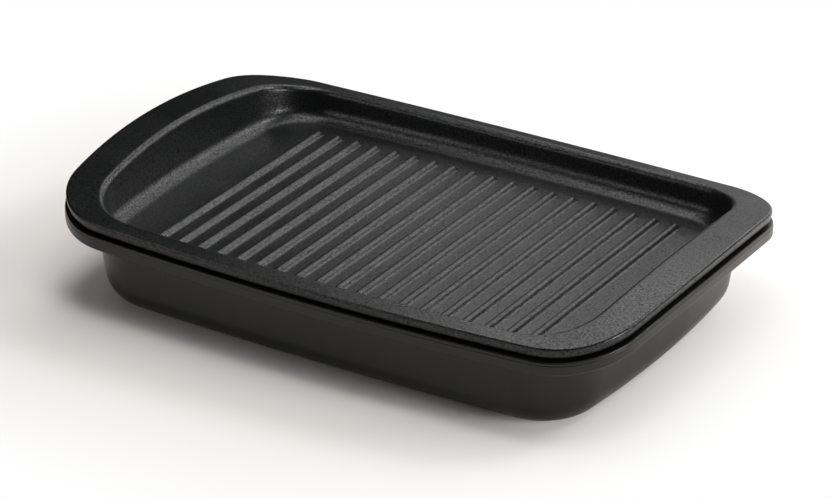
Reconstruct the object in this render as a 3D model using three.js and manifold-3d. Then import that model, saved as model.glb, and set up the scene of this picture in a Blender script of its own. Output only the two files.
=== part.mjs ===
// A griddle plate that lies as a lid on a deep roasting pan. Both are castings in
// aluminium with a black coating, and their rims share one bowed outline whose two
// ends arch upwards as grips. The plate's well has straight raised ribs across it.
// Millimetres, X along the length, Z up, origin on the table under the middle.

import * as THREE from 'three';
import { mergeVertices } from 'three/addons/utils/BufferGeometryUtils.js';
import Module from 'manifold-3d';

const wasm = await Module();
wasm.setup();

// The rim outline that plate and pan share. The pan's rim stands out a little further.
const overallLength = 402;
const overallBreadth = 258;
const panOverhang = 1;
const rimEndBow = 11.4;
const rimSideBow = 6.9;
const rimCornerRadius = 49.5;

// How the rims rise from the middle of a long side to a corner, and to a grip
const cornerLift = 2.2;
const gripArch = 13.3;
const archExponent = 2;
const archStartShare = 0.7;

// The roasting pan
const panRimHeight = 52.4;
const endLand = 23.5;
const sideLand = 9.5;
const mouthEndBow = 8.8;
const mouthSideBow = 4.4;
const mouthCornerRadius = 42.5;
const rimCrown = 2.2;
const panWall = 2.8;
const panBase = 4;
const panDraft = THREE.MathUtils.degToRad(7.6);
const panBottomRadius = 20;
const panEdgeDepth = 8.2;
const panEdgeRadius = 1;
const panFootRadius = 2.2;
const panLipBreadth = 4.6;
const panFlangeThickness = 3.6;
const panMouthEdgeRadius = 1.2;
const panFlangeFillet = 2.2;

// The griddle plate
const rimGap = 1.9;
const plateEdgeDepth = 6.8;
const plateEdgeRadius = 2;
const plateFootRadius = 2.7;
const plateFlange = 3.6;
const lipBreadth = 3.4;
const lipSlope = 0.7;
const wellDepth = 17.2;
const wellDraft = THREE.MathUtils.degToRad(9);
const wellFloorRadius = 9;
const wellMouthRadius = 3.2;
const plateWall = 3;
const plateFloor = 3.8;

// How the plate seats on the pan
const restGap = 0.3;
const seatBreadth = 3.4;
const seatFillet = 0.9;
const wellGap = 1.25;

// The ribs across the well
const ribCount = 19;
const ribPitch = 14.3;
const ribLength = 184.5;
const ribHeight = 2.6;
const ribCrest = 1.2;
const ribFoot = 8;
const ribCornerRadius = 2.6;
const ribRoot = 1;
const ribShoulderShare = 0.26;
const ribRoundShare = 0.12;

// Steps of the curves
const endSteps = 5;
const cornerSteps = 7;
const sideSteps = 6;
const bottomSteps = 7;
const filletSteps = 5;
const edgeSteps = 3;
const ribCornerSteps = 2;

// The black coating: satin on the pan, and duller on the plate
const coating = new THREE.Color(0x1b1b1c);
const panRoughness = 0.42;
const plateRoughness = 0.5;

// A circle's centre, found from its distances to two other centres
function centreBetween(first, firstDistance, second, secondDistance) {
  const apart = first.distanceTo(second);
  const along = (firstDistance ** 2 - secondDistance ** 2 + apart ** 2) / (2 * apart);
  const across = Math.sqrt(Math.max(firstDistance ** 2 - along ** 2, 0));
  const direction = second.clone().sub(first).normalize();
  const foot = first.clone().addScaledVector(direction, along);
  return foot.add(new THREE.Vector2(direction.y, -direction.x).multiplyScalar(-across));
}

// Points of an arc, without its last one
function arcPoints(centre, radius, from, to, steps) {
  const points = [];
  for (let i = 0; i < steps; i += 1) {
    const angle = THREE.MathUtils.lerp(from, to, i / steps);
    const spoke = new THREE.Vector2(Math.cos(angle), Math.sin(angle));
    points.push(spoke.multiplyScalar(radius).add(centre));
  }
  return points;
}

// One quarter of a rectangle with bowed sides and round corners, from the end's middle
// to the side's middle. Growing it keeps the arcs' centres, so the lines stay parallel.
function quarterOutline(shape, grow) {
  const cornerX = shape.halfLength - shape.endBow;
  const cornerY = shape.halfBreadth - shape.sideBow;
  const endRadius = (cornerY ** 2 + shape.endBow ** 2) / (2 * shape.endBow);
  const sideRadius = (cornerX ** 2 + shape.sideBow ** 2) / (2 * shape.sideBow);
  const endCentre = new THREE.Vector2(shape.halfLength - endRadius, 0);
  const sideCentre = new THREE.Vector2(0, shape.halfBreadth - sideRadius);
  const corner = centreBetween(
    endCentre, endRadius - shape.cornerRadius,
    sideCentre, sideRadius - shape.cornerRadius,
  );
  const endAngle = corner.clone().sub(endCentre).angle();
  const sideAngle = corner.clone().sub(sideCentre).angle();
  return [
    ...arcPoints(endCentre, endRadius + grow, 0, endAngle, endSteps),
    ...arcPoints(corner, shape.cornerRadius + grow, endAngle, sideAngle, cornerSteps),
    ...arcPoints(sideCentre, sideRadius + grow, sideAngle, Math.PI / 2, sideSteps),
    new THREE.Vector2(0, shape.halfBreadth + grow),
  ];
}

// The whole outline, mirrored from its quarter
function wholeOutline(shape, grow) {
  const quarter = quarterOutline(shape, grow);
  const second = quarter.slice(0, -1).reverse().map((p) => new THREE.Vector2(-p.x, p.y));
  const upper = [...quarter, ...second];
  const lower = upper.slice(1, -1).reverse().map((p) => new THREE.Vector2(p.x, -p.y));
  return [...upper, ...lower];
}

// A level ring of an outline
function levelRing(shape, grow, height) {
  return wholeOutline(shape, grow).map((p) => new THREE.Vector3(p.x, p.y, height));
}

// A ring that follows the rims' rise to the corners and to the arched grips
function rimRing(shape, grow, height, lift) {
  return wholeOutline(shape, grow).map((p) => {
    const alongShare = Math.min(Math.abs(p.x) / shape.halfLength, 1);
    const acrossShare = Math.min(Math.abs(p.y) / shape.halfBreadth, 1);
    const nearEnd = THREE.MathUtils.smoothstep(alongShare, archStartShare, 1);
    const arch = gripArch * nearEnd * (1 - acrossShare ** archExponent);
    return new THREE.Vector3(p.x, p.y, height + lift * alongShare ** 2 + arch);
  });
}

// A ring raised or lowered
function raise(ring, by) {
  return ring.map((p) => new THREE.Vector3(p.x, p.y, p.z + by));
}

// A ring moved towards another by a distance, along the surface between them
function towards(ring, other, distance) {
  return ring.map((p, i) => {
    const plan = Math.hypot(other[i].x - p.x, other[i].y - p.y);
    return p.clone().lerp(other[i], distance / plan);
  });
}

// Inset and rise of the points on a fillet between a level face and a drafted wall,
// from the level face to the wall. The inset is measured from their sharp edge.
function filletProfile(radius, sweep, steps) {
  const start = radius * Math.tan(sweep / 2);
  const profile = [];
  for (let i = 0; i <= steps; i += 1) {
    const angle = sweep * i / steps;
    const rise = radius * (1 - Math.cos(angle));
    profile.push({ inset: start - radius * Math.sin(angle), rise });
  }
  return profile;
}

// A closed body from a list of rings, with its first and last ring filled by fans
function loftRings(rings) {
  const positions = [];
  const put = (...points) => points.forEach((p) => positions.push(p.x, p.y, p.z));
  const middle = (ring) => ring
    .reduce((sum, p) => sum.add(p), new THREE.Vector3())
    .divideScalar(ring.length);
  const first = rings[0];
  const last = rings[rings.length - 1];
  const firstMiddle = middle(first);
  const lastMiddle = middle(last);
  for (let j = 0; j < first.length; j += 1) {
    const k = (j + 1) % first.length;
    put(firstMiddle, first[j], first[k]);
    put(lastMiddle, last[k], last[j]);
    for (let i = 0; i + 1 < rings.length; i += 1) {
      const inner = rings[i];
      const outer = rings[i + 1];
      put(inner[j], outer[j], outer[k]);
      put(inner[j], outer[k], inner[k]);
    }
  }
  const geometry = new THREE.BufferGeometry();
  geometry.setAttribute('position', new THREE.Float32BufferAttribute(positions, 3));
  return mergeVertices(geometry);
}

// The solid of a closed mesh, for joining
function toSolid(geometry) {
  const vertProperties = new Float32Array(geometry.attributes.position.array);
  const triVerts = new Uint32Array(geometry.index.array);
  return new wasm.Manifold(new wasm.Mesh({ numProp: 3, vertProperties, triVerts }));
}

// The mesh of a solid
function toGeometry(solid) {
  const mesh = solid.getMesh();
  const geometry = new THREE.BufferGeometry();
  const position = new THREE.BufferAttribute(mesh.vertProperties, 3);
  geometry.setAttribute('position', position);
  geometry.setIndex(new THREE.BufferAttribute(mesh.triVerts, 1));
  geometry.computeVertexNormals();
  return geometry;
}

// The outline of the plate's rim. The pan's is grown from it by the overhang.
const rimShape = {
  halfLength: overallLength / 2 - panOverhang,
  halfBreadth: overallBreadth / 2 - panOverhang,
  endBow: rimEndBow,
  sideBow: rimSideBow,
  cornerRadius: rimCornerRadius,
};

// The pan's mouth, inside the plate's rim by the breadth of the land
const panMouthShape = {
  halfLength: rimShape.halfLength - endLand,
  halfBreadth: rimShape.halfBreadth - sideLand,
  endBow: mouthEndBow,
  sideBow: mouthSideBow,
  cornerRadius: mouthCornerRadius,
};

// Heights, from the table up
const panMouthHeight = panRimHeight + rimCrown;
const plateRimHeight = panRimHeight + rimGap + plateEdgeDepth;
const wellMouthHeight = plateRimHeight + rimCrown;
const ribTopHeight = wellMouthHeight - wellDepth;
const wellFloorHeight = ribTopHeight - ribHeight;
const plateBottomHeight = wellFloorHeight - plateFloor;

// The rims' top lines and the pan's mouth line
const panMouthLine = rimRing(panMouthShape, 0, panMouthHeight, 0);
const panRimLine = rimRing(rimShape, panOverhang, panRimHeight, cornerLift);
const plateRimLine = rimRing(rimShape, 0, plateRimHeight, cornerLift);

// Rings of a rim's rounded edge, from its top over its face to its foot
function edgeRings(grow, height, depth, topRadius, footRadius) {
  const sweep = Math.PI / 2;
  const top = filletProfile(topRadius, sweep, edgeSteps);
  const foot = filletProfile(footRadius, sweep, edgeSteps).reverse();
  const footHeight = height - depth;
  return [
    ...top.map((q) => rimRing(rimShape, grow - q.inset, height - q.rise, cornerLift)),
    ...foot.map((q) => rimRing(rimShape, grow - q.inset, footHeight + q.rise, cornerLift)),
  ];
}

// A level ring on a face of the pan's drafted wall
function panWallRing(grow, height) {
  const draftRun = Math.tan(panDraft) * (panMouthHeight - height);
  return levelRing(panMouthShape, grow - draftRun, height);
}

// The inner or outer face of the pan below its rim: a bottom fillet and the wall's foot
function panBowlRings(grow, floorHeight, radius) {
  const draftRun = Math.tan(panDraft) * (panMouthHeight - floorHeight);
  const profile = filletProfile(radius, Math.PI / 2 - panDraft, bottomSteps);
  return profile.map((q) => {
    const ringGrow = grow - draftRun - q.inset;
    return levelRing(panMouthShape, ringGrow, floorHeight + q.rise);
  });
}

// The deep pan with its open mouth, its flat land and its rounded rim
function roastingPan() {
  const innerRadius = panBottomRadius - panWall;
  const inside = panBowlRings(0, panBase, innerRadius);
  const insideTop = panWallRing(0, panMouthHeight - 2 * panMouthEdgeRadius);
  const mouthDrop = raise(panMouthLine, -panMouthEdgeRadius);
  const landStart = towards(panMouthLine, panRimLine, panMouthEdgeRadius);
  const landMiddle = towards(panMouthLine, panRimLine, seatBreadth);
  const edge = edgeRings(
    panOverhang, panRimHeight, panEdgeDepth, panEdgeRadius, panFootRadius,
  );
  const wallTop = rimRing(panMouthShape, panWall, panMouthHeight - panFlangeThickness, 0);
  const flangeLine = raise(panRimLine, -panFlangeThickness);
  const underFlange = towards(wallTop, flangeLine, panFlangeFillet);
  const underEdge = rimRing(
    rimShape, panOverhang - panLipBreadth, panRimHeight - panFlangeThickness, cornerLift,
  );
  const wallStart = raise(wallTop, -panFlangeFillet);
  const outsideTop = panWallRing(
    panWall, panMouthHeight - panFlangeThickness - 2 * panFlangeFillet,
  );
  const outside = panBowlRings(panWall, 0, panBottomRadius).reverse();
  const rings = [
    ...inside, insideTop, mouthDrop, landStart, landMiddle, ...edge,
    underEdge, underFlange, wallStart, outsideTop, ...outside,
  ];
  return loftRings(rings);
}

// The plate's well mouth stands inside the pan's mouth by the gap and its own wall,
// and its draft is counted from the height at which it passes the pan's mouth
const wellRun = Math.tan(wellDraft) * (wellMouthHeight - panMouthHeight);
const wellInset = wellGap + plateWall - wellRun;
const wellMouthLine = rimRing(panMouthShape, -wellInset, wellMouthHeight, 0);

// Rings of the well's floor fillet, on its inner or its outer face
function wellFloorRings(grow, height, radius) {
  const draftRun = Math.tan(wellDraft) * (wellMouthHeight - height);
  const profile = filletProfile(radius, Math.PI / 2 - wellDraft, filletSteps);
  return profile.map((q) => {
    const ringGrow = grow - wellInset - draftRun - q.inset;
    return levelRing(panMouthShape, ringGrow, height + q.rise);
  });
}

// Rings of the rounded edge where the well's wall meets the rim's top
function wellMouthRings() {
  const profile = filletProfile(wellMouthRadius, Math.PI / 2 - wellDraft, filletSteps);
  return [...profile].reverse().map((q) => {
    const outward = q.inset > 0;
    const line = outward
      ? towards(wellMouthLine, plateRimLine, q.inset)
      : rimRing(panMouthShape, q.inset - wellInset, wellMouthHeight, 0);
    return raise(line, -q.rise);
  });
}

// The plate's underside, from its rim's lip over the seat to the well's wall
function plateUnderRings() {
  const lipInner = rimRing(
    rimShape, -lipBreadth, plateRimHeight - plateEdgeDepth, cornerLift,
  );
  const flangeOuter = rimRing(
    rimShape, -lipBreadth - lipSlope, plateRimHeight - plateFlange, cornerLift,
  );
  const seatReach = wellInset + seatBreadth;
  const seatTopOuter = raise(
    towards(wellMouthLine, plateRimLine, seatReach + seatFillet), -plateFlange,
  );
  const seatTop = raise(
    towards(wellMouthLine, plateRimLine, seatReach), -plateFlange - seatFillet,
  );
  const seatFoot = raise(towards(panMouthLine, panRimLine, seatBreadth), restGap);
  const seatInner = raise(panMouthLine, restGap);
  const wallStart = raise(rimRing(panMouthShape, -wellGap, panMouthHeight, 0), restGap);
  return [lipInner, flangeOuter, seatTopOuter, seatTop, seatFoot, seatInner, wallStart];
}

// The plate's body without its ribs
function plateBody() {
  const floorInside = wellFloorRings(0, wellFloorHeight, wellFloorRadius);
  const mouth = wellMouthRings();
  const edge = edgeRings(
    0, plateRimHeight, plateEdgeDepth, plateEdgeRadius, plateFootRadius,
  );
  const outerRadius = wellFloorRadius + plateFloor;
  const floorOutside = wellFloorRings(plateWall, plateBottomHeight, outerRadius).reverse();
  return loftRings([...floorInside, ...mouth, ...edge, ...plateUnderRings(), ...floorOutside]);
}

// A ring of a rib: a rectangle with round corners
function ribRing(x, halfBreadth, halfLength, radius, height) {
  const points = [];
  const quarter = Math.PI / 2;
  const signs = [[1, 1], [-1, 1], [-1, -1], [1, -1]];
  signs.forEach(([sideways, lengthways], corner) => {
    for (let i = 0; i <= ribCornerSteps; i += 1) {
      const angle = quarter * (corner + i / ribCornerSteps);
      points.push(new THREE.Vector3(
        x + sideways * (halfBreadth - radius) + radius * Math.cos(angle),
        lengthways * (halfLength - radius) + radius * Math.sin(angle),
        height,
      ));
    }
  });
  return points;
}

// One rib, with sloping sides and ends, a rounded crest and a small fillet at its foot
function ribSolid(x) {
  const run = (ribFoot - ribCrest) / 2;
  const levels = [
    { out: 0, up: ribHeight },
    { out: run * ribShoulderShare, up: ribHeight * (1 - ribRoundShare) },
    { out: run * (1 - ribShoulderShare), up: ribHeight * ribRoundShare },
    { out: run, up: 0 },
    { out: run, up: -ribRoot },
  ];
  const rings = levels.map(({ out, up }) => {
    const halfBreadth = ribCrest / 2 + out;
    const halfLength = ribLength / 2 - run + out;
    const radius = ribCornerRadius * halfBreadth / (ribFoot / 2);
    return ribRing(x, halfBreadth, halfLength, radius, wellFloorHeight + up);
  });
  return toSolid(loftRings(rings));
}

// The griddle plate with all its ribs joined to its floor
function griddlePlate() {
  let solid = toSolid(plateBody());
  for (let i = 0; i < ribCount; i += 1) {
    const x = ribPitch * (i - (ribCount - 1) / 2);
    solid = solid.add(ribSolid(x));
  }
  return toGeometry(solid);
}

// A named mesh with its own coated surface
function coatedPiece(name, geometry, roughness) {
  const material = new THREE.MeshStandardMaterial({ color: coating, roughness, metalness: 0 });
  const mesh = new THREE.Mesh(geometry, material);
  mesh.name = name;
  return mesh;
}

const part = new THREE.Group();
part.add(coatedPiece('roasting_pan', roastingPan(), panRoughness));
part.add(coatedPiece('griddle_plate', griddlePlate(), plateRoughness));

export default part;
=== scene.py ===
"""A ribbed griddle plate that lies as a lid on a deep roasting pan, dressed for its picture.

Both pieces are lofted skins of black-coated cast metal whose rims share one bowed outline.
Metres, X along the length towards one grip, Y across, Z up, and the origin on the table
under the middle of the pan.
"""

import logging
import math
from dataclasses import dataclass
from enum import Enum

import bpy
import numpy as np
from mathutils import Matrix, Vector

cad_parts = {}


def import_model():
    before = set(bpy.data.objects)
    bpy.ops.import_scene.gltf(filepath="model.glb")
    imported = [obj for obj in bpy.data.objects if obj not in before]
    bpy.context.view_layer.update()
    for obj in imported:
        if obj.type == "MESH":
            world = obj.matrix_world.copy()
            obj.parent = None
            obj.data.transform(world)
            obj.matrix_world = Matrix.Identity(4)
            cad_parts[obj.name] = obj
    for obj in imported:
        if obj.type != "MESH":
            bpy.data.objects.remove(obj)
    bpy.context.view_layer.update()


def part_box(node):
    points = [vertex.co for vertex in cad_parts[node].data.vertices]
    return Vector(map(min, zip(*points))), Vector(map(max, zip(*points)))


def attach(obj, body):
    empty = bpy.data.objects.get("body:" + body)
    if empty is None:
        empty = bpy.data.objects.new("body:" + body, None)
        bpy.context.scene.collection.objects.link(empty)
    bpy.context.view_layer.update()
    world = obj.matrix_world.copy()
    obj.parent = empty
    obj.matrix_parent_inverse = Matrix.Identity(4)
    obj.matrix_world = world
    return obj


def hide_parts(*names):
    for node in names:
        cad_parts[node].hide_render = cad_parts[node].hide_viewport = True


MM = 0.001
WHITE = (1.0, 1.0, 1.0, 1.0)
LOG = logging.getLogger("griddle_on_pan")


@dataclass(frozen=True)
class ArcSteps:
    """How many steps each arc of a quarter outline has.

    Attributes:
        end: Steps on the half of the bowed end.
        corner: Steps on the round corner.
        side: Steps on the half of the bowed long side.
    """

    end: int
    corner: int
    side: int


@dataclass(frozen=True)
class BowedOutline:
    """A rectangle with bowed sides and round corners, centred on the origin.

    Each quarter is three arcs that meet without a kink. The end's arc and the side's arc
    are circles through the sharp corner of the bowed rectangle: half the chord squared
    plus the bow squared, over twice the bow, is the radius. The corner's circle touches
    both from inside.
    """

    half_length: float
    half_breadth: float
    end_bow: float
    side_bow: float
    corner_radius: float

    def quarter(self, grow: float, steps: ArcSteps) -> np.ndarray:
        """Points of one quarter, from the end's middle to the side's middle.

        Args:
            grow: Distance outwards from the outline. The arcs keep their centres.
            steps: Steps of the three arcs.

        Returns:
            An array of plan points, one row each.
        """
        corner_x = self.half_length - self.end_bow
        corner_y = self.half_breadth - self.side_bow
        end_radius = (corner_y**2 + self.end_bow**2) / (2 * self.end_bow)
        side_radius = (corner_x**2 + self.side_bow**2) / (2 * self.side_bow)
        end_centre = np.array([self.half_length - end_radius, 0.0])
        side_centre = np.array([0.0, self.half_breadth - side_radius])
        corner = meeting_point(
            end_centre, end_radius - self.corner_radius,
            side_centre, side_radius - self.corner_radius,
        )
        end_angle = math.atan2(*(corner - end_centre)[::-1])
        side_angle = math.atan2(*(corner - side_centre)[::-1])
        quarter_turn = math.pi / 2
        return np.vstack([
            arc(end_centre, end_radius + grow, 0.0, end_angle, steps.end),
            arc(corner, self.corner_radius + grow, end_angle, side_angle, steps.corner),
            arc(side_centre, side_radius + grow, side_angle, quarter_turn, steps.side),
            [[0.0, self.half_breadth + grow]],
        ])

    def plan(self, grow: float, steps: ArcSteps) -> np.ndarray:
        """The whole outline, mirrored from its quarter, anticlockwise from the +X end.

        Args:
            grow: Distance outwards from the outline.
            steps: Steps of the three arcs.

        Returns:
            An array of plan points, one row each, without a repeated one.
        """
        quarter = self.quarter(grow, steps)
        upper = np.vstack([quarter, quarter[:-1][::-1] * [-1, 1]])
        lower = upper[1:-1][::-1] * [1, -1]
        return np.vstack([upper, lower])


def meeting_point(
    first: np.ndarray, first_distance: float, second: np.ndarray, second_distance: float
) -> np.ndarray:
    """The point at given distances from two others, on the far side of their line.

    Args:
        first: The first point.
        first_distance: Its distance.
        second: The second point.
        second_distance: Its distance.

    Returns:
        The point where the two circles cross.
    """
    apart = np.hypot(*(second - first))
    along = (first_distance**2 - second_distance**2 + apart**2) / (2 * apart)
    across = math.sqrt(max(first_distance**2 - along**2, 0.0))
    way = (second - first) / apart
    return first + way * along - across * np.array([way[1], -way[0]])


def arc(centre: np.ndarray, radius: float, start: float, end: float, steps: int) -> np.ndarray:
    """Points of a circle arc, without its last one.

    Args:
        centre: The circle's centre.
        radius: Its radius.
        start: The angle of the first point.
        end: The angle at which the arc ends.
        steps: How many points it has.

    Returns:
        An array of plan points, one row each.
    """
    angle = np.linspace(start, end, steps, endpoint=False)
    return centre + radius * np.column_stack([np.cos(angle), np.sin(angle)])


@dataclass(frozen=True)
class GripRise:
    """How a rim's line rises from the middle of a long side to the corners and the grips.

    The corner lift grows with the square of the distance along. The grip's arch is a
    parabola across the end, and fades in by a smooth step along the last stretch.
    """

    corner_lift: float = 2.2 * MM
    grip_arch: float = 13.2 * MM
    arch_start_share: float = 0.7

    def over(self, plan: np.ndarray, outline: BowedOutline, lifted: bool) -> np.ndarray:
        """The rise above the middle of a long side.

        Args:
            plan: Plan points on or near the outline.
            outline: The outline that they follow.
            lifted: Whether the line has the corner lift too.

        Returns:
            One rise for each point.
        """
        along = np.minimum(np.abs(plan[:, 0]) / outline.half_length, 1.0)
        across = np.minimum(np.abs(plan[:, 1]) / outline.half_breadth, 1.0)
        start = self.arch_start_share
        near_end = np.clip((along - start) / (1 - start), 0.0, 1.0)
        fade = near_end**2 * (3 - 2 * near_end)
        lift = self.corner_lift * along**2 if lifted else 0.0
        return self.grip_arch * fade * (1 - across**2) + lift


@dataclass(frozen=True)
class RingMaker:
    """Makes rings of points around an outline, all with the same steps."""

    steps: ArcSteps
    rise: GripRise

    def level(self, outline: BowedOutline, grow: float, height: float) -> np.ndarray:
        """A level ring around an outline grown by a distance, at a height."""
        plan = outline.plan(grow, self.steps)
        return np.column_stack([plan, np.full(len(plan), height)])

    def rim(
        self, outline: BowedOutline, grow: float, height: float, lifted: bool
    ) -> np.ndarray:
        """A ring that rises to the corners and to the arched grips.

        Args:
            outline: The outline that the ring follows.
            grow: Distance outwards from the outline.
            height: Height at the middle of a long side.
            lifted: Whether it has the corner lift.

        Returns:
            An array of points, one row each.
        """
        plan = outline.plan(grow, self.steps)
        return np.column_stack([plan, height + self.rise.over(plan, outline, lifted)])


def raised(ring: np.ndarray, by: float) -> np.ndarray:
    """A ring moved up by a distance."""
    return ring + [0.0, 0.0, by]


def towards(ring: np.ndarray, other: np.ndarray, distance: float) -> np.ndarray:
    """A ring moved a plan distance along the straight lines to another ring."""
    gap = np.hypot(*(other - ring)[:, :2].T)
    return ring + (other - ring) * (distance / gap)[:, None]


@dataclass(frozen=True)
class Corner:
    """One key ring of a section, and the round that its corner gets.

    Attributes:
        ring: The sharp corner's line around the piece.
        radius: The round's radius, or zero at the two ends of a section.
        steps: The round's steps.
    """

    ring: np.ndarray
    radius: float = 0.0
    steps: int = 4


class RoundedSection:
    """A section given by the lines of its sharp corners, rounded all the way round.

    At each point the two legs of a corner give its turn. The round leaves each leg at its
    radius times the tangent of half the turn. Where two rounds don't fit on a leg, both
    shrink alike. A round is a rational quadratic curve whose middle weight is the cosine
    of half the turn, which makes it a true arc. A ring just outside each round keeps the
    flats flat in shading.
    """

    ROOM_SHARE = 0.94
    SUPPORT_SHARE = 0.3
    LEAST_LENGTH = 1e-9

    def __init__(self, corners: list[Corner]) -> None:
        """Keeps the section's corners, in order."""
        self.corners = corners
        self.lines = np.stack([corner.ring for corner in corners])

    def rings(self) -> list[np.ndarray]:
        """All rings of the rounded section, in order.

        Returns:
            A list of arrays of points, all of one length.
        """
        legs = np.diff(self.lines, axis=0)
        length = np.linalg.norm(legs, axis=2, keepdims=True)
        way = legs / length
        cosine = (way[:-1] * way[1:]).sum(axis=2, keepdims=True)
        half_turn = np.arccos(np.clip(cosine, -1.0, 1.0)) / 2
        reach = self._reaches(half_turn, length)
        spare = length - reach[:-1] - reach[1:]
        made = [self.lines[0]]
        for i, corner in enumerate(self.corners[1:-1]):
            support = self.SUPPORT_SHARE * np.minimum(reach[i + 1], spare[i:i + 2])
            made.append(corner.ring - way[i] * (reach[i + 1] + support[0]))
            made.extend(self._round(corner, way[i:i + 2] * reach[i + 1], half_turn[i]))
            made.append(corner.ring + way[i + 1] * (reach[i + 1] + support[1]))
        made.append(self.lines[-1])
        return made

    def _reaches(self, half_turn: np.ndarray, length: np.ndarray) -> np.ndarray:
        """How far each round reaches along its legs.

        Args:
            half_turn: Half the turn at each corner between the section's two ends.
            length: The length of each leg.

        Returns:
            One distance for each corner and point, zero at the section's two ends.
        """
        reach = np.zeros(self.lines.shape[:2] + (1,))
        radii = np.array([corner.radius for corner in self.corners[1:-1]])
        reach[1:-1] = radii[:, None, None] * np.tan(half_turn)
        asked = np.maximum(reach[:-1] + reach[1:], self.LEAST_LENGTH)
        fits = np.minimum(self.ROOM_SHARE * length / asked, 1.0)
        reach[1:-1] *= np.minimum(fits[:-1], fits[1:])
        return reach

    @staticmethod
    def _round(corner: Corner, reach: np.ndarray, half_turn: np.ndarray) -> list[np.ndarray]:
        """The rings of one round.

        Args:
            corner: The corner.
            reach: The round's two reaches along the legs, as vectors.
            half_turn: Half the turn at each point.

        Returns:
            A list of rings from one leg to the other.
        """
        start, end = corner.ring - reach[0], corner.ring + reach[1]
        weight = np.cos(half_turn)
        made = []
        for t in np.linspace(0.0, 1.0, corner.steps + 1):
            shares = ((1 - t) ** 2, 2 * t * (1 - t) * weight, t**2)
            mixed = shares[0] * start + shares[1] * corner.ring + shares[2] * end
            made.append(mixed / sum(shares))
        return made


class Skin:
    """A closed surface that grows from arrays of points and strips of faces."""

    def __init__(self) -> None:
        """Starts with no points and no faces."""
        self._points: list[np.ndarray] = []
        self._count = 0
        self._quads: list[np.ndarray] = []
        self._triangles: list[np.ndarray] = []

    def put(self, points: np.ndarray) -> np.ndarray:
        """Adds points and returns their indices, in their order."""
        self._points.append(np.asarray(points, float).reshape(-1, 3))
        first = self._count
        self._count += len(self._points[-1])
        return np.arange(first, self._count)

    def strip(self, inner: np.ndarray, outer: np.ndarray) -> None:
        """Joins two rings of indices by quads that face up where the strip runs outwards."""
        following = np.roll(inner, -1), np.roll(outer, -1)
        self._quads.append(np.column_stack([inner, outer, following[1], following[0]]))

    def patch(self, grid: np.ndarray) -> None:
        """Fills a grid of indices with quads that face up.

        Args:
            grid: Indices in rows along X and columns along Y.
        """
        corners = grid[:-1, :-1], grid[1:, :-1], grid[1:, 1:], grid[:-1, 1:]
        self._quads.append(np.stack(corners, axis=-1).reshape(-1, 4))

    def fan(self, ring: np.ndarray, centre: np.ndarray, upwards: bool) -> None:
        """Fills a ring of indices by triangles to a centre point.

        Args:
            ring: The ring's indices.
            centre: The centre point.
            upwards: Whether the fan faces up.
        """
        middle = np.full(len(ring), self.put(centre)[0])
        sides = (ring, np.roll(ring, -1))
        first, second = sides if upwards else sides[::-1]
        self._triangles.append(np.column_stack([middle, first, second]))

    def sweep(self, start: np.ndarray, rings: list[np.ndarray]) -> np.ndarray:
        """Carries the surface from a ring of indices through rings of points.

        Args:
            start: Indices of the ring to start from.
            rings: The rings of points, in order.

        Returns:
            The indices of the last ring.
        """
        for ring in rings:
            placed = self.put(ring)
            self.strip(start, placed)
            start = placed
        return start

    def to_object(self, name: str) -> bpy.types.Object:
        """Makes a Blender object of the surface, shaded smooth.

        Args:
            name: The object's name.

        Returns:
            The object, at the origin, linked to the scene.
        """
        triangles = np.vstack(self._triangles)
        quads = np.vstack(self._quads)
        loops = np.concatenate([triangles.ravel(), quads.ravel()]).astype(np.int32)
        totals = np.repeat([3, 4], [len(triangles), len(quads)]).astype(np.int32)
        starts = np.concatenate([[0], np.cumsum(totals)[:-1]]).astype(np.int32)
        mesh = bpy.data.meshes.new(name)
        mesh.vertices.add(self._count)
        mesh.vertices.foreach_set("co", np.vstack(self._points).astype(np.float32).ravel())
        mesh.loops.add(len(loops))
        mesh.loops.foreach_set("vertex_index", loops)
        mesh.polygons.add(len(totals))
        mesh.polygons.foreach_set("loop_start", starts)
        mesh.polygons.foreach_set("loop_total", totals)
        mesh.polygons.foreach_set("use_smooth", np.ones(len(totals), dtype=bool))
        mesh.update(calc_edges=True)
        mesh.validate()
        made = bpy.data.objects.new(name, mesh)
        bpy.context.scene.collection.objects.link(made)
        return made


@dataclass(frozen=True)
class RimPlan:
    """The outline that both rims share, and the pan's mouth inside it."""

    rim: BowedOutline
    mouth: BowedOutline
    rise: GripRise = GripRise()

    @classmethod
    def from_frame(cls, node: str) -> "RimPlan":
        """Takes the rim's length and breadth from a node of the frame.

        Args:
            node: The node whose box is as long and as broad as the rims.

        Returns:
            The plan of both outlines.
        """
        low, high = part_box(node)
        rim = BowedOutline(
            half_length=(high.x - low.x) / 2,
            half_breadth=(high.y - low.y) / 2,
            end_bow=11.4 * MM,
            side_bow=6.9 * MM,
            corner_radius=49.5 * MM,
        )
        end_land = 23.5 * MM
        side_land = 9.5 * MM
        mouth = BowedOutline(
            half_length=rim.half_length - end_land,
            half_breadth=rim.half_breadth - side_land,
            end_bow=8.8 * MM,
            side_bow=4.4 * MM,
            corner_radius=42.5 * MM,
        )
        return cls(rim, mouth)


class CastPiece:
    """A piece that is one casting, with its place in the frame.

    Attributes:
        body: The body that it rides on.
        node: The node that it stands for.
        slot: The slot that its finish belongs to.
    """

    body = ""
    node = ""
    slot = ""

    def build(self) -> bpy.types.Object:
        """Makes the piece as one closed skin."""
        raise NotImplementedError

    def dress(self, piece: bpy.types.Object, finish: "CoatedCasting") -> None:
        """Gives the piece its finish and its place in the frame, and reports it.

        Args:
            piece: The piece's object.
            finish: Its finish.
        """
        piece.data.materials.append(finish.build())
        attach(piece, self.body)
        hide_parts(self.node)
        LOG.info("%s: %d points, %d faces, on %s",
                 piece.name, len(piece.data.vertices), len(piece.data.polygons), self.body)


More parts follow.
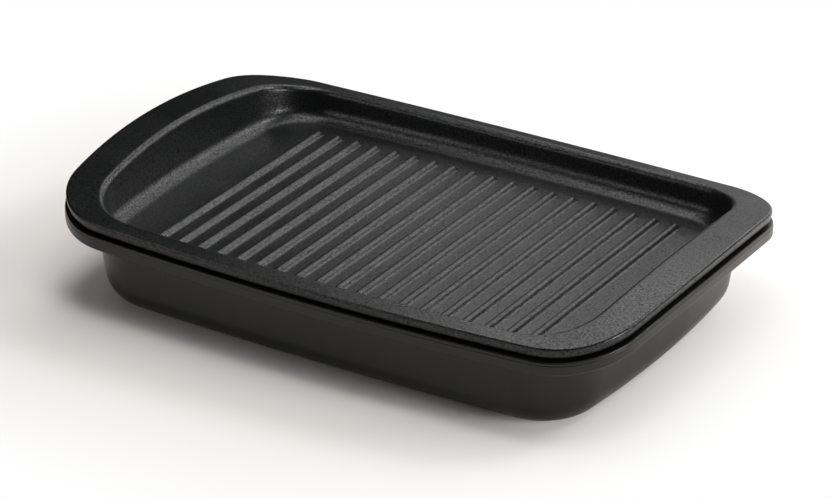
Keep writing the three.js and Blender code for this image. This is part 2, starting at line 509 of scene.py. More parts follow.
@dataclass(frozen=True)
class RoastingPan(CastPiece):
    """The deep pan: a drafted wall, a flat land round its mouth and a rounded rim.

    The rim's face has a fine step under its top edge, and behind its foot the lip's
    underside climbs to the flange. A wall's belt is the level line below the mouth from
    which the wall bends to follow the arch. The ring at which a floor is closed lies
    inside the fillet's corner by the floor's margin times the fillet's radius.
    """

    plan: RimPlan
    overhang: float = 1.0 * MM
    rim_height: float = 52.4 * MM
    rim_crown: float = 2.2 * MM
    edge_depth: float = 8.2 * MM
    edge_round: float = 0.7 * MM
    step_inset: float = 0.22 * MM
    step_drop: float = 1.7 * MM
    step_slope: float = 1.2
    step_top_round: float = 0.15 * MM
    step_foot_round: float = 0.25 * MM
    foot_round: float = 1.4 * MM
    lip_foot: float = 2.2 * MM
    lip_foot_round: float = 0.5 * MM
    lip: float = 4.6 * MM
    lip_root_round: float = 1.2 * MM
    flange: float = 3.6 * MM
    flange_fillet: float = 2.2 * MM
    mouth_round: float = 1.2 * MM
    wall: float = 2.8 * MM
    base: float = 4.0 * MM
    draft: float = math.radians(7.6)
    bottom_radius: float = 20.0 * MM
    floor_margin: float = 1.5
    belt_drop: float = 2.4 * MM
    belt_round: float = 12.0 * MM
    steps: ArcSteps = ArcSteps(end=12, corner=30, side=34)

    body = "pan"
    node = "roasting_pan"
    slot = "pan_coating"

    @property
    def mouth_height(self) -> float:
        """The height of the mouth's edge at the middle of a long side."""
        return self.rim_height + self.rim_crown

    def rings(self) -> RingMaker:
        """The maker of this piece's rings."""
        return RingMaker(self.steps, self.plan.rise)

    def mouth_line(self, rings: RingMaker) -> np.ndarray:
        """The sharp edge where the pan's land meets its inner wall."""
        return rings.rim(self.plan.mouth, 0.0, self.mouth_height, lifted=False)

    def rim_line(self, rings: RingMaker) -> np.ndarray:
        """The sharp outer edge of the pan's rim."""
        return rings.rim(self.plan.rim, self.overhang, self.rim_height, lifted=True)

    def wall_ring(self, rings: RingMaker, grow: float, height: float) -> np.ndarray:
        """A level ring on a face of the wall, drawn in by the draft's tangent times its depth."""
        run = math.tan(self.draft) * (self.mouth_height - height)
        return rings.level(self.plan.mouth, grow - run, height)

    def section(self) -> list[Corner]:
        """The section's corners, from the inner floor over the rim to the underside."""
        rings = self.rings()
        rim_line = self.rim_line(rings)
        upper = rings.rim(
            self.plan.rim, self.overhang - self.step_inset, self.rim_height, lifted=True
        )
        step_foot = self.step_drop + self.step_slope * self.step_inset
        lip_foot = rings.rim(
            self.plan.rim, self.overhang - self.lip_foot, self.rim_height - self.edge_depth,
            lifted=True,
        )
        lip_root = rings.rim(
            self.plan.rim, self.overhang - self.lip, self.rim_height - self.flange, lifted=True
        )
        inner_radius = self.bottom_radius - self.wall
        floor_reach = self.floor_margin * self.bottom_radius
        under = self.mouth_height - self.flange
        wall_top = rings.rim(self.plan.mouth, self.wall, under, lifted=False)
        inner_belt = self.mouth_height - self.belt_drop
        outer_belt = under - 2 * self.flange_fillet
        return [
            Corner(self.wall_ring(rings, -floor_reach, self.base)),
            Corner(self.wall_ring(rings, 0.0, self.base), inner_radius, steps=10),
            Corner(self.wall_ring(rings, 0.0, inner_belt), self.belt_round, steps=2),
            Corner(self.mouth_line(rings), self.mouth_round, steps=4),
            Corner(upper, self.edge_round, steps=5),
            Corner(raised(upper, -self.step_drop), self.step_top_round, steps=2),
            Corner(raised(rim_line, -step_foot), self.step_foot_round, steps=2),
            Corner(raised(rim_line, -self.edge_depth), self.foot_round, steps=5),
            Corner(lip_foot, self.lip_foot_round, steps=2),
            Corner(lip_root, self.lip_root_round, steps=3),
            Corner(wall_top, self.flange_fillet, steps=5),
            Corner(self.wall_ring(rings, self.wall, outer_belt), self.belt_round, steps=2),
            Corner(self.wall_ring(rings, self.wall, 0.0), self.bottom_radius, steps=12),
            Corner(self.wall_ring(rings, self.wall - floor_reach, 0.0)),
        ]

    def build(self) -> bpy.types.Object:
        """Makes the pan as one closed skin.

        Returns:
            The pan's object.
        """
        skin = Skin()
        rings = RoundedSection(self.section()).rings()
        start = skin.put(rings[0])
        skin.fan(start, np.array([0.0, 0.0, self.base]), upwards=True)
        last = skin.sweep(start, rings[1:])
        skin.fan(last, np.zeros(3), upwards=False)
        return skin.to_object("pan_casting")


@dataclass(frozen=True)
class RibField:
    """The straight ribs across the well's floor, as heights over a grid.

    A rib is as high as its distance inside a round-ended strip allows: full on the crest,
    nothing outside the foot, and between them a straight flank whose two ends are rounded
    by quadratic curves.
    """

    count: int = 19
    pitch: float = 14.3 * MM
    length: float = 184.5 * MM
    height: float = 2.6 * MM
    crest: float = 0.8 * MM
    foot: float = 7.4 * MM
    corner_radius: float = 1.9 * MM
    crest_share: float = 0.45
    foot_share: float = 0.3
    flank_steps: int = 8
    end_steps: int = 14
    end_reach: float = 6.6 * MM
    middle_steps: int = 10
    foot_margin: float = 0.4 * MM
    margin: float = 2.0 * MM

    PLACE_DIGITS = 7

    @property
    def run(self) -> float:
        """The plan breadth of a flank."""
        return (self.foot - self.crest) / 2

    def half_columns(self) -> np.ndarray:
        """Grid places along X from the middle outwards, close together on the flanks."""
        flank = np.linspace(self.crest / 2, self.foot / 2, self.flank_steps + 1)
        valley = np.array([self.foot / 2 + self.foot_margin])
        half = np.concatenate([flank, valley])
        last = (self.count - 1) // 2
        centres = self.pitch * np.arange(last + 1)
        rising = centres[1:, None] - half[::-1]
        falling = centres[:, None] + half
        valleys = centres[:-1] + self.pitch / 2
        edge = [centres[-1] + self.foot / 2 + self.margin]
        places = [centres, rising.ravel(), falling.ravel(), valleys, edge]
        return np.unique(np.round(np.concatenate(places), self.PLACE_DIGITS))

    def half_rows(self) -> np.ndarray:
        """Grid places along Y from the middle outwards, close together at the ribs' ends."""
        end = self.length / 2 + self.foot_margin
        start = end - self.end_reach
        middle = np.linspace(0.0, start, self.middle_steps + 1)
        ends = np.linspace(start, end, self.end_steps + 1)[1:]
        return np.concatenate([middle, ends, [end + self.margin]])

    def rise(self, x: np.ndarray, y: np.ndarray) -> np.ndarray:
        """The ribs' height over plan places.

        Args:
            x: Places along X.
            y: Places along Y.

        Returns:
            Heights above the floor, in the shape of x and y.
        """
        last = (self.count - 1) // 2
        centre = self.pitch * np.clip(np.round(x / self.pitch), -last, last)
        half_breadth = self.crest / 2 + self.run / 2 - self.corner_radius
        half_length = self.length / 2 - self.run / 2 - self.corner_radius
        past_side = np.abs(x - centre) - half_breadth
        past_end = np.abs(y) - half_length
        outside = np.hypot(np.maximum(past_side, 0), np.maximum(past_end, 0))
        inside = np.minimum(np.maximum(past_side, past_end), 0)
        distance = outside + inside - self.corner_radius
        return self.height * self.flank_share(0.5 - distance / self.run)

    def flank_share(self, t: np.ndarray) -> np.ndarray:
        """The share of the full height at a share t of the way up the flank.

        Args:
            t: Shares, below zero outside the foot and above one on the crest.

        Returns:
            Shares of the height, from zero to one.
        """
        t = np.clip(t, 0.0, 1.0)
        foot, crest = self.foot_share, self.crest_share
        slope = 1 / (1 - (foot + crest) / 2)
        low = slope * t**2 / (2 * foot)
        high = 1 - slope * (1 - t) ** 2 / (2 * crest)
        straight = slope * (t - foot / 2)
        return np.where(t < foot, low, np.where(t > 1 - crest, high, straight))

    def grid(self, floor_height: float) -> np.ndarray:
        """The floor with its ribs, as points in rows along X and columns along Y.

        Args:
            floor_height: The height of the floor between the ribs.

        Returns:
            An array of points with two grid axes.
        """
        columns, rows = self.half_columns(), self.half_rows()
        x = np.concatenate([-columns[:0:-1], columns])
        y = np.concatenate([-rows[:0:-1], rows])
        across, along = np.meshgrid(x, y, indexing="ij")
        return np.stack([across, along, floor_height + self.rise(across, along)], axis=-1)


def grid_border(grid: np.ndarray) -> np.ndarray:
    """The border of a grid of indices, anticlockwise from the middle of its +X side.

    Args:
        grid: Indices in rows along X and columns along Y, odd in number both ways.

    Returns:
        The border's indices, each once.
    """
    middle = grid.shape[1] // 2
    return np.concatenate([
        grid[-1, middle:-1],
        grid[::-1, -1][:-1],
        grid[0, ::-1][:-1],
        grid[:-1, 0],
        grid[-1, :middle],
    ])


@dataclass(frozen=True)
class GriddlePlate(CastPiece):
    """The plate: a ribbed well, a crowned flange, a rounded rim and a seat below it.

    The rim's face bellies out a little and draws in to its foot. The margins have the
    same use as the pan's. Each small round is one of two sizes.
    """

    plan: RimPlan
    pan: RoastingPan
    ribs: RibField = RibField()
    rim_gap: float = 1.9 * MM
    edge_depth: float = 6.8 * MM
    top_round: float = 1.4 * MM
    belly_drop: float = 2.8 * MM
    belly_round: float = 7.0 * MM
    foot_inset: float = 1.3 * MM
    foot_round: float = 1.8 * MM
    small_round: float = 0.6 * MM
    fine_round: float = 0.4 * MM
    flange: float = 3.6 * MM
    lip: float = 3.4 * MM
    lip_slope: float = 0.7 * MM
    well_depth: float = 17.2 * MM
    well_draft: float = math.radians(9.0)
    floor_radius: float = 10.4 * MM
    mouth_radius: float = 4.2 * MM
    floor_margin: float = 1.15
    bottom_margin: float = 1.4
    wall: float = 3.0 * MM
    floor: float = 3.8 * MM
    rest_gap: float = 0.3 * MM
    seat: float = 3.4 * MM
    seat_fillet: float = 0.9 * MM
    well_gap: float = 1.25 * MM
    end_steps: int = 12
    corner_steps: int = 28

    body = "plate"
    node = "griddle_plate"
    slot = "plate_coating"

    @property
    def rim_height(self) -> float:
        """The height of the rim's top edge at the middle of a long side."""
        return self.pan.rim_height + self.rim_gap + self.edge_depth

    @property
    def mouth_height(self) -> float:
        """The height of the well's mouth at the middle of a long side."""
        return self.rim_height + self.pan.rim_crown

    @property
    def floor_height(self) -> float:
        """The height of the floor between the ribs."""
        return self.mouth_height - self.well_depth - self.ribs.height

    @property
    def inset(self) -> float:
        """How far the well's mouth lies inside the pan's mouth.

        It is the gap between the walls and the well's own wall, less what the draft
        widens the well by between the two mouths.
        """
        run = math.tan(self.well_draft) * (self.mouth_height - self.pan.mouth_height)
        return self.well_gap + self.wall - run

    def rings(self) -> RingMaker:
        """The maker of this piece's rings, which match the border of the ribs' grid."""
        rows = len(self.ribs.half_rows()) - 1
        columns = len(self.ribs.half_columns()) - 1
        side = rows + columns - self.end_steps - self.corner_steps
        steps = ArcSteps(self.end_steps, self.corner_steps, side)
        return RingMaker(steps, self.plan.rise)

    def well_ring(self, rings: RingMaker, grow: float, height: float) -> np.ndarray:
        """A level ring on a face of the well's wall, drawn in by its draft like the pan's."""
        run = math.tan(self.well_draft) * (self.mouth_height - height)
        return rings.level(self.plan.mouth, grow - self.inset - run, height)

    def section(self) -> list[Corner]:
        """The section's corners, from the well's floor over the rim to the underside."""
        rings = self.rings()
        rim, mouth = self.plan.rim, self.plan.mouth
        floor_reach = self.floor_margin * self.floor_radius
        bottom = self.floor_height - self.floor
        outer_radius = self.floor_radius + self.floor
        bottom_reach = self.bottom_margin * outer_radius
        mouth_line = rings.rim(mouth, -self.inset, self.mouth_height, lifted=False)
        rim_line = rings.rim(rim, 0.0, self.rim_height, lifted=True)
        foot = self.rim_height - self.edge_depth
        flange_under = self.rim_height - self.flange
        lip_root = -self.lip - self.lip_slope
        seat_reach = self.inset + self.seat
        pan_mouth = self.pan.mouth_line(rings)
        pan_rim = self.pan.rim_line(rings)
        seat_top = raised(towards(mouth_line, rim_line, seat_reach), -self.flange)
        seat_foot = raised(towards(pan_mouth, pan_rim, self.seat), self.rest_gap)
        wall_top = rings.rim(mouth, -self.well_gap, self.pan.mouth_height, lifted=False)
        return [
            Corner(self.well_ring(rings, -floor_reach, self.floor_height)),
            Corner(self.well_ring(rings, 0.0, self.floor_height), self.floor_radius, steps=8),
            Corner(mouth_line, self.mouth_radius, steps=8),
            Corner(rim_line, self.top_round, steps=5),
            Corner(raised(rim_line, -self.belly_drop), self.belly_round, steps=3),
            Corner(rings.rim(rim, -self.foot_inset, foot, lifted=True), self.foot_round, steps=4),
            Corner(rings.rim(rim, -self.lip, foot, lifted=True), self.fine_round, steps=2),
            Corner(rings.rim(rim, lip_root, flange_under, lifted=True), self.small_round, steps=2),
            Corner(seat_top, self.seat_fillet, steps=3),
            Corner(seat_foot, self.small_round, steps=2),
            Corner(raised(wall_top, self.rest_gap), self.fine_round, steps=2),
            Corner(self.well_ring(rings, self.wall, bottom), outer_radius, steps=7),
            Corner(self.well_ring(rings, self.wall - bottom_reach, bottom)),
        ]

    def build(self) -> bpy.types.Object:
        """Makes the plate and its ribs as one closed skin.

        Returns:
            The plate's object.
        """
        skin = Skin()
        points = self.ribs.grid(self.floor_height)
        grid = skin.put(points).reshape(points.shape[:2])
        skin.patch(grid)
        rings = RoundedSection(self.section()).rings()
        last = skin.sweep(grid_border(grid), rings)
        bottom = self.floor_height - self.floor
        skin.fan(last, np.array([0.0, 0.0, bottom]), upwards=False)
        return skin.to_object("plate_casting")


class Socket(Enum):
    """The kinds of sockets that the shared effects have."""

    VALUE = "NodeSocketFloat"
    VECTOR = "NodeSocketVector"


class NodeSheet:
    """A node tree with short ways to add and join its nodes."""

    def __init__(self, tree: bpy.types.NodeTree) -> None:
        """Keeps the tree and empties it."""
        self.tree = tree
        self.tree.nodes.clear()

    def add(self, kind: str, settings: dict | None = None, **inputs: object) -> bpy.types.Node:
        """Adds a node.

        Args:
            kind: The node's type.
            settings: Properties of the node.
            inputs: Values or output sockets for its inputs, with underscores for spaces.

        Returns:
            The node.
        """
        node = self.tree.nodes.new(kind)
        for name, value in (settings or {}).items():
            setattr(node, name, value)
        for name, value in inputs.items():
            self.feed(node.inputs[name.replace("_", " ")], value)
        return node

    def feed(self, socket: bpy.types.NodeSocket, value: object) -> None:
        """Links an output to a socket, or sets the socket's own value."""
        if isinstance(value, bpy.types.NodeSocket):
            self.tree.links.new(value, socket)
        else:
            socket.default_value = value

    def maths(self, operation: str, first: object, second: object = 0.0, third: object = 0.0
              ) -> bpy.types.NodeSocket:
        """A Math node's output for one, two or three numbers or sockets."""
        node = self.add("ShaderNodeMath", {"operation": operation})
        for socket, value in zip(node.inputs, (first, second, third)):
            self.feed(socket, value)
        return node.outputs[0]

    def vectors(self, operation: str, first: object, second: object = (0.0, 0.0, 0.0)
                ) -> bpy.types.NodeSocket:
        """A Vector Math node's output, a number for a length and else a vector."""
        node = self.add("ShaderNodeVectorMath", {"operation": operation})
        self.feed(node.inputs[0], first)
        self.feed(node.inputs[1], second)
        return node.outputs["Value" if operation == "LENGTH" else "Vector"]

    def remap(self, value: object, low: float, high: float, start: float = 0.0,
              end: float = 1.0) -> bpy.types.NodeSocket:
        """A value's range mapped smoothly to another range.

        Args:
            value: The value's socket.
            low: Where the mapping starts.
            high: Where it ends.
            start: The result at low.
            end: The result at high.

        Returns:
            The result's socket.
        """
        node = self.add("ShaderNodeMapRange", {"interpolation_type": "SMOOTHSTEP"})
        for name, number in zip(("From Min", "From Max", "To Min", "To Max"),
                                (low, high, start, end)):
            node.inputs[name].default_value = number
        self.feed(node.inputs["Value"], value)
        return node.outputs["Result"]

    def noise(self, place: object, scale: float, detail: float = 2.0, roughness: float = 0.5
              ) -> bpy.types.NodeSocket:
        """A noise texture's value at a place."""
        node = self.add("ShaderNodeTexNoise", Vector=place, Scale=scale, Detail=detail,
                        Roughness=roughness)
        return node.outputs["Fac"]

    def mix(self, share: object, first: object, second: object) -> bpy.types.NodeSocket:
        """A mix of two colours by a share."""
        node = self.add("ShaderNodeMix", {"data_type": "RGBA"})
        self.feed(node.inputs["Factor"], share)
        colours = [s for s in node.inputs if s.type == "RGBA"]
        self.feed(colours[0], first)
        self.feed(colours[1], second)
        return next(s for s in node.outputs if s.type == "RGBA")


class Effect:
    """A shader node group with named inputs and outputs, built once for all finishes."""

    name = "effect"
    inputs: tuple[tuple[str, Socket, float], ...] = ()
    outputs: tuple[tuple[str, Socket], ...] = ()

    @classmethod
    def group(cls) -> bpy.types.NodeTree:
        """The effect's node group, made when it is first asked for."""
        made = bpy.data.node_groups.get(cls.name)
        if made is None:
            made = bpy.data.node_groups.new(cls.name, "ShaderNodeTree")
            for name, kind, default in cls.inputs:
                socket = made.interface.new_socket(
                    name, in_out="INPUT", socket_type=kind.value
                )
                if kind is Socket.VALUE:
                    socket.default_value = default
            for name, kind in cls.outputs:
                made.interface.new_socket(name, in_out="OUTPUT", socket_type=kind.value)
            sheet = NodeSheet(made)
            given = sheet.add("NodeGroupInput").outputs
            results = cls.wire(sheet, given)
            out = sheet.add("NodeGroupOutput")
            for name, result in results.items():
                sheet.feed(out.inputs[name], result)
        return made

    @classmethod
    def wire(cls, sheet: NodeSheet, given: bpy.types.NodeOutputs
             ) -> dict[str, bpy.types.NodeSocket]:
        """Wires the group and returns its results by name."""
        raise NotImplementedError

    @classmethod
    def place(cls, sheet: NodeSheet, place: bpy.types.NodeSocket, **values: float
              ) -> bpy.types.NodeOutputs:
        """Puts the effect into a material.

        Args:
            sheet: The material's node sheet.
            place: The socket with the place on the piece.
            values: The effect's own values.

        Returns:
            The outputs of the effect.
        """
        node = sheet.add("ShaderNodeGroup", {"node_tree": cls.group()})
        sheet.feed(node.inputs["Place"], place)
        for name, value in values.items():
            node.inputs[name.replace("_", " ")].default_value = value
        return node.outputs


class CastGrain(Effect):
    """The fine grain of a sprayed coating over cast metal, whose grains glint unevenly."""

    name = "cast_grain"
    inputs = (
        ("Place", Socket.VECTOR, 0.0),
        ("Grains", Socket.VALUE, 1500.0),
        ("Glint Strength", Socket.VALUE, 1.0),
    )
    outputs = (("Height", Socket.VALUE), ("Glint", Socket.VALUE))

    FINER = 2.3
    COARSE_SHARE = 0.7
    MEAN_NOISE = 0.5
    LEAST_GLINT = 0.1

    @classmethod
    def wire(cls, sheet: NodeSheet, given: bpy.types.NodeOutputs
             ) -> dict[str, bpy.types.NodeSocket]:
        """A coarse and a fine noise make the height, and the coarse one makes the glint."""
        coarse = sheet.noise(given["Place"], given["Grains"], detail=2.0, roughness=0.6)
        finer = sheet.maths("MULTIPLY", given["Grains"], cls.FINER)
        fine = sheet.noise(given["Place"], finer, detail=1.0, roughness=0.5)
        fine_part = sheet.maths("MULTIPLY", fine, 1 - cls.COARSE_SHARE)
        height = sheet.maths("MULTIPLY_ADD", coarse, cls.COARSE_SHARE, fine_part)
        uneven = sheet.maths("SUBTRACT", coarse, cls.MEAN_NOISE)
        glint = sheet.maths("MULTIPLY_ADD", uneven, given["Glint Strength"], 1.0)
        glint = sheet.maths("MAXIMUM", glint, cls.LEAST_GLINT)
        return {"Height": height, "Glint": glint}


class CoatMottle(Effect):
    """Soft clouds in the coating's thickness, which change its colour and its gloss."""

    name = "coat_mottle"
    inputs = (("Place", Socket.VECTOR, 0.0), ("Clouds", Socket.VALUE, 28.0))
    outputs = (("Cloud", Socket.VALUE), ("Smear", Socket.VALUE))

    CLOUD_RANGE = (0.3, 0.7)
    SMEAR_RANGE = (0.35, 0.65)
    SMEAR_SCALE = (0.35, 1.0, 1.0)

    @classmethod
    def wire(cls, sheet: NodeSheet, given: bpy.types.NodeOutputs
             ) -> dict[str, bpy.types.NodeSocket]:
        """One slow noise for the clouds, and one drawn out along X for wiped smears."""
        cloud = sheet.noise(given["Place"], given["Clouds"], detail=3.0, roughness=0.55)
        drawn = sheet.add("ShaderNodeMapping", Vector=given["Place"], Scale=cls.SMEAR_SCALE)
        smear = sheet.noise(drawn.outputs["Vector"], given["Clouds"])
        return {
            "Cloud": sheet.remap(cloud, *cls.CLOUD_RANGE),
            "Smear": sheet.remap(smear, *cls.SMEAR_RANGE),
        }


class EdgeWear(Effect):
    """Where sharp edges are rubbed: on convex edges, broken up by noise."""

    name = "edge_wear"
    inputs = (("Place", Socket.VECTOR, 0.0), ("Amount", Socket.VALUE, 0.3))
    outputs = (("Mask", Socket.VALUE),)

    EDGE_RANGE = (0.505, 0.56)
    SPECKLES = 420.0
    SPECKLE_RANGE = (0.35, 0.7)
    LEAST_SPECKLE = 0.2

    @classmethod
    def wire(cls, sheet: NodeSheet, given: bpy.types.NodeOutputs
             ) -> dict[str, bpy.types.NodeSocket]:
        """The mesh's pointiness picks the edges, and a noise breaks them up."""
        pointed = sheet.add("ShaderNodeNewGeometry").outputs["Pointiness"]
        edge = sheet.remap(pointed, *cls.EDGE_RANGE)
        speckles = sheet.noise(given["Place"], cls.SPECKLES, detail=3.0, roughness=0.6)
        broken = sheet.remap(speckles, *cls.SPECKLE_RANGE, start=cls.LEAST_SPECKLE)
        rubbed = sheet.maths("MULTIPLY", edge, broken)
        return {"Mask": sheet.maths("MULTIPLY", rubbed, given["Amount"])}


class Coat(Enum):
    """The two coats of the object, each with its gloss."""

    SATIN = 0.29
    MATT = 0.27


@dataclass(frozen=True)
class CoatedCasting:
    """Black non-stick coating on cast aluminium.

    Attributes:
        name: The material's name.
        coat: Which coat it is.
        colour: The coating's colour.
        grains: Grains in a metre.
        grain_depth: How deep the grain is.
        grain_gloss: How much the grain changes the roughness.
        glint: How unevenly the grains reflect.
        wear: How much the edges are rubbed, from zero to one.
    """

    name: str
    coat: Coat
    colour: tuple[float, float, float, float]
    grains: float
    grain_depth: float
    grain_gloss: float
    glint: float
    wear: float

    IOR = 1.36
    SPECULAR_LEVEL = 0.64
    WORN = (0.022, 0.022, 0.022, 1.0)
    CLOUDS = 28.0
    CLOUD_SHADE = 0.8
    SMEAR_GLOSS = (-0.02, 0.03)

    def build(self) -> bpy.types.Material:
        """Makes the material.

        Returns:
            The material.
        """
        material = bpy.data.materials.new(self.name)
        material.use_nodes = True
        sheet = NodeSheet(material.node_tree)
        place = sheet.add("ShaderNodeTexCoord").outputs["Object"]
        grain = CastGrain.place(sheet, place, Grains=self.grains, Glint_Strength=self.glint)
        mottle = CoatMottle.place(sheet, place, Clouds=self.CLOUDS)
        wear = EdgeWear.place(sheet, place, Amount=self.wear)
        bsdf = sheet.add("ShaderNodeBsdfPrincipled", IOR=self.IOR, Metallic=0.0)
        sheet.feed(bsdf.inputs["Base Color"], self._colour(sheet, mottle, wear))
        level = sheet.maths("MULTIPLY", grain["Glint"], self.SPECULAR_LEVEL)
        sheet.feed(bsdf.inputs["Specular IOR Level"], level)
        sheet.feed(bsdf.inputs["Roughness"], self._roughness(sheet, grain, mottle))
        bump = sheet.add("ShaderNodeBump", Strength=1.0, Distance=self.grain_depth,
                         Height=grain["Height"])
        sheet.feed(bsdf.inputs["Normal"], bump.outputs["Normal"])
        out = sheet.add("ShaderNodeOutputMaterial")
        sheet.feed(out.inputs["Surface"], bsdf.outputs["BSDF"])
        return material

    def _colour(self, sheet: NodeSheet, mottle: bpy.types.NodeOutputs,
                wear: bpy.types.NodeOutputs) -> bpy.types.NodeSocket:
        """The coating's colour: clouded, and greyer on rubbed edges."""
        shade = tuple(self.CLOUD_SHADE * part for part in self.colour[:3]) + (1.0,)
        clouded = sheet.mix(mottle["Cloud"], self.colour, shade)
        return sheet.mix(wear["Mask"], clouded, self.WORN)

    def _roughness(self, sheet: NodeSheet, grain: bpy.types.NodeOutputs,
                   mottle: bpy.types.NodeOutputs) -> bpy.types.NodeSocket:
        """The coating's roughness: a little lower where it was wiped, and grainy."""
        low, high = (self.coat.value + change for change in self.SMEAR_GLOSS)
        wiped = sheet.remap(mottle["Smear"], 0.0, 1.0, low, high)
        return sheet.maths("MULTIPLY_ADD", grain["Height"], self.grain_gloss, wiped)


@dataclass(frozen=True)
class Softbox:
    """A rectangular lamp.

    Attributes:
        name: Its name.
        place: Where its middle is.
        aim: What it faces.
        size: Its breadth and its height.
        watts: Its power.
    """

    name: str
    place: tuple[float, float, float]
    aim: tuple[float, float, float]
    size: tuple[float, float]
    watts: float

    def build(self) -> None:
        """Makes the lamp."""
        lamp = bpy.data.lights.new(self.name, "AREA")
        lamp.shape = "RECTANGLE"
        lamp.size, lamp.size_y = self.size
        lamp.energy = self.watts
        made = bpy.data.objects.new(self.name, lamp)
        made.location = self.place
        away = Vector(self.place) - Vector(self.aim)
        made.rotation_euler = away.to_track_quat("Z", "Y").to_euler()
        bpy.context.scene.collection.objects.link(made)


@dataclass(frozen=True)
class LightWall:
    """An upright wall of small lamps behind the object.

    A lamp's power is the full one times one less (1 - up squared) times (1 - right), so
    the wall is bright along its top and its right part, and fades down on its left. Up is
    the lamp's height over the wall's foot, as a share of the top row's. Right goes from
    zero to one between two places along X. The lower right corner is dark: there the power
    grows with the lamp's distances from the corner's two sides, added up.

    Attributes:
        middle: The place of the wall's middle.
        columns: How many lamps stand side by side.
        rows: How many lamps stand one above the other.
        cell: The breadth and height of one lamp.
        lean: The share of a lamp's place along X at which it aims.
        aim_height: The height at which it aims.
        full_watts: The power of a lamp where the wall is brightest.
        right_from: Where the right part starts to brighten.
        right_to: Where it is fully bright.
        corner_reach: How far the dark corner reaches.
    """

    middle: tuple[float, float, float] = (0.0, 0.65, 0.425)
    columns: int = 6
    rows: int = 5
    cell: float = 0.15
    lean: float = 0.3
    aim_height: float = 0.05
    full_watts: float = 0.178
    right_from: float = -0.15
    right_to: float = 0.225
    corner_reach: float = 0.3

    def watts(self, x: np.ndarray, z: np.ndarray) -> np.ndarray:
        """The power of the lamps, by the class's formula.

        Args:
            x: The lamps' places along X.
            z: Their heights.

        Returns:
            One power for each lamp.
        """
        half_breadth = self.columns * self.cell / 2
        half_height = self.rows * self.cell / 2
        from_foot = z - (self.middle[2] - half_height)
        from_end = self.middle[0] + half_breadth - x
        up = from_foot / (2 * half_height - self.cell / 2)
        right = np.clip((x - self.right_from) / (self.right_to - self.right_from), 0.0, 1.0)
        from_corner = from_foot + from_end - self.cell
        corner = np.clip(from_corner / self.corner_reach, 0.0, 1.0)
        return self.full_watts * (1 - (1 - up**2) * (1 - right)) * corner

    def lamps(self) -> list[Softbox]:
        """The wall's lamps, without those that give no light."""
        across = (np.arange(self.columns) - (self.columns - 1) / 2) * self.cell
        upright = (np.arange(self.rows) - (self.rows - 1) / 2) * self.cell
        x, z = np.meshgrid(self.middle[0] + across, self.middle[2] + upright)
        made = []
        for i, (at, height, power) in enumerate(zip(x.flat, z.flat, self.watts(x, z).flat)):
            if power > 0:
                place = (at, self.middle[1], height)
                aim = (self.lean * at, 0.0, self.aim_height)
                made.append(Softbox(f"back_{i}", place, aim, (self.cell, self.cell), power))
        return made


@dataclass(frozen=True)
class PhotoCamera:
    """The camera, at the photograph's viewing angle.

    Azimuth 0 looks along +Y. The aim is a point that the middle of the picture shows.
    """

    azimuth: float = math.radians(31.65)
    elevation: float = math.radians(26.28)
    distance: float = 2.2867
    aim: tuple[float, float, float] = (0.0185, -0.0320, 0.0510)
    lens: float = 166.34
    sensor: float = 36.0

    def build(self) -> None:
        """Makes the camera and gives it to the scene."""
        level = math.cos(self.elevation)
        back = Vector((
            math.sin(self.azimuth) * level,
            -math.cos(self.azimuth) * level,
            math.sin(self.elevation),
        ))
        right = Vector((math.cos(self.azimuth), math.sin(self.azimuth), 0.0))
        up = back.cross(right)
        data = bpy.data.cameras.new("photo_camera")
        data.lens = self.lens
        data.sensor_width = self.sensor
        camera = bpy.data.objects.new("photo_camera", data)
        turn = Matrix((right, up, back)).transposed().to_4x4()
        camera.matrix_world = Matrix.Translation(Vector(self.aim) + back * self.distance) @ turn
        bpy.context.scene.collection.objects.link(camera)
        bpy.context.scene.camera = camera


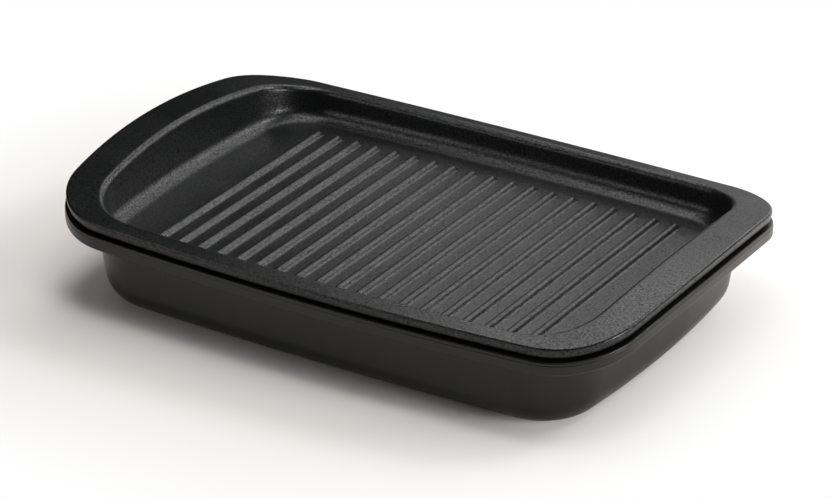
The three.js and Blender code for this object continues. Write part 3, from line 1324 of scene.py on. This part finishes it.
@dataclass(frozen=True)
class Studio:
    """The pale floor, the lamps and the world.

    Attributes:
        floor_half: Half the floor's side.
        floor_drop: How far it lies under the pan.
        floor_colour: Its colour.
        shade_centre: The middle of the part that isn't plain white.
        shade_core: Half the size of the box that the distance is measured from.
        white_from: The distance at which the floor starts to turn white.
        white_to: The distance at which it is white.
        wall: The wall of lamps behind the object.
        lamps: The other lamps.
    """

    floor_half: float = 6.0
    floor_drop: float = 0.05 * MM
    floor_colour: tuple[float, float, float, float] = (0.87, 0.84, 0.808, 1.0)
    shade_centre: tuple[float, float, float] = (-0.06, 0.0, 0.0)
    shade_core: tuple[float, float, float] = (0.05, 0.04, 0.0)
    white_from: float = 0.13
    white_to: float = 0.27
    wall: LightWall = LightWall()
    lamps: tuple[Softbox, ...] = (
        Softbox("wide_1", (0.8, 0.65, 0.9), (0.24, 0.0, 0.05), (0.35, 0.3), 6.0),
        Softbox("roof_1", (-0.6, -0.3, 0.95), (-0.12, -0.06, 0.05), (0.35, 0.35), 0.8),
        Softbox("roof_2", (-0.2, -0.05, 0.95), (-0.04, -0.01, 0.05), (0.4, 0.35), 2.1),
        Softbox("roof_3", (0.2, -0.2, 0.95), (0.04, -0.04, 0.05), (0.35, 0.35), 2.0),
        Softbox("roof_4", (-0.2, 0.38, 0.95), (-0.04, 0.07, 0.05), (0.4, 0.5), 2.3),
        Softbox("side_1", (1.0, -0.1, 0.25), (0.0, 0.0, 0.05), (0.35, 0.3), 6.6),
        Softbox("front_1", (-0.9, -1.1, 0.6), (0.0, 0.0, 0.03), (0.75, 0.55), 2.95),
    )

    def build(self) -> None:
        """Makes the floor, the lamps and the world, and sets the plain view transform."""
        self._floor()
        for lamp in [*self.lamps, *self.wall.lamps()]:
            lamp.build()
        self._world()
        bpy.context.scene.view_settings.view_transform = "Standard"

    def _floor(self) -> None:
        """Makes the floor, which isn't part of the object."""
        half, height = self.floor_half, -self.floor_drop
        ways = ((-1, -1), (1, -1), (1, 1), (-1, 1))
        mesh = bpy.data.meshes.new("floor")
        mesh.from_pydata([(x * half, y * half, height) for x, y in ways], [], [(0, 1, 2, 3)])
        mesh.materials.append(self._floor_material())
        floor = bpy.data.objects.new("floor", mesh)
        bpy.context.scene.collection.objects.link(floor)

    def _floor_material(self) -> bpy.types.Material:
        """The floor's finish: pale and matt near the object, plain white far from it.

        The white is for the camera alone, and its share grows smoothly with the distance
        from a box of twice the core's size round the shade's centre.
        """
        material = bpy.data.materials.new("pale_floor")
        material.use_nodes = True
        sheet = NodeSheet(material.node_tree)
        place = sheet.add("ShaderNodeTexCoord").outputs["Object"]
        moved = sheet.vectors("SUBTRACT", place, self.shade_centre)
        folded = sheet.vectors("ABSOLUTE", moved)
        beyond = sheet.vectors("SUBTRACT", folded, self.shade_core)
        outside = sheet.vectors("MAXIMUM", beyond)
        far = sheet.vectors("LENGTH", outside)
        fade = sheet.remap(far, self.white_from, self.white_to)
        path = sheet.add("ShaderNodeLightPath").outputs
        share = sheet.maths("MULTIPLY", fade, path["Is Camera Ray"])
        matt = sheet.add("ShaderNodeBsdfDiffuse", Color=self.floor_colour)
        white = sheet.add("ShaderNodeEmission", Color=WHITE, Strength=1.0)
        both = sheet.add("ShaderNodeMixShader", Fac=share)
        sheet.feed(both.inputs[1], matt.outputs["BSDF"])
        sheet.feed(both.inputs[2], white.outputs["Emission"])
        out = sheet.add("ShaderNodeOutputMaterial")
        sheet.feed(out.inputs["Surface"], both.outputs["Shader"])
        return material

    def _world(self) -> None:
        """Makes the world: white where the camera sees it, and dark elsewhere."""
        world = bpy.data.worlds.new("studio_world")
        world.use_nodes = True
        sheet = NodeSheet(world.node_tree)
        path = sheet.add("ShaderNodeLightPath").outputs
        sky = sheet.add("ShaderNodeBackground", Color=WHITE, Strength=path["Is Camera Ray"])
        out = sheet.add("ShaderNodeOutputWorld")
        sheet.feed(out.inputs["Surface"], sky.outputs["Background"])
        bpy.context.scene.world = world


PAN_FINISH = CoatedCasting(
    name="satin_black_coat",
    coat=Coat.SATIN,
    colour=(0.006, 0.006, 0.006, 1.0),
    grains=1300.0,
    grain_depth=0.015 * MM,
    grain_gloss=0.04,
    glint=0.3,
    wear=0.0,
)

PLATE_FINISH = CoatedCasting(
    name="matt_black_coat",
    coat=Coat.MATT,
    colour=(0.006, 0.0063, 0.0066, 1.0),
    grains=800.0,
    grain_depth=0.12 * MM,
    grain_gloss=0.08,
    glint=4.0,
    wear=0.35,
)


def main() -> None:
    """Loads the frame, builds the camera, the studio and both pieces, and logs their points and
    faces.
    """
    logging.basicConfig(level=logging.INFO)
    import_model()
    PhotoCamera().build()
    Studio().build()
    plan = RimPlan.from_frame("griddle_plate")
    pan = RoastingPan(plan)
    plate = GriddlePlate(plan, pan)
    for piece, finish in ((pan, PAN_FINISH), (plate, PLATE_FINISH)):
        piece.dress(piece.build(), finish)


if __name__ == "__main__":
    main()
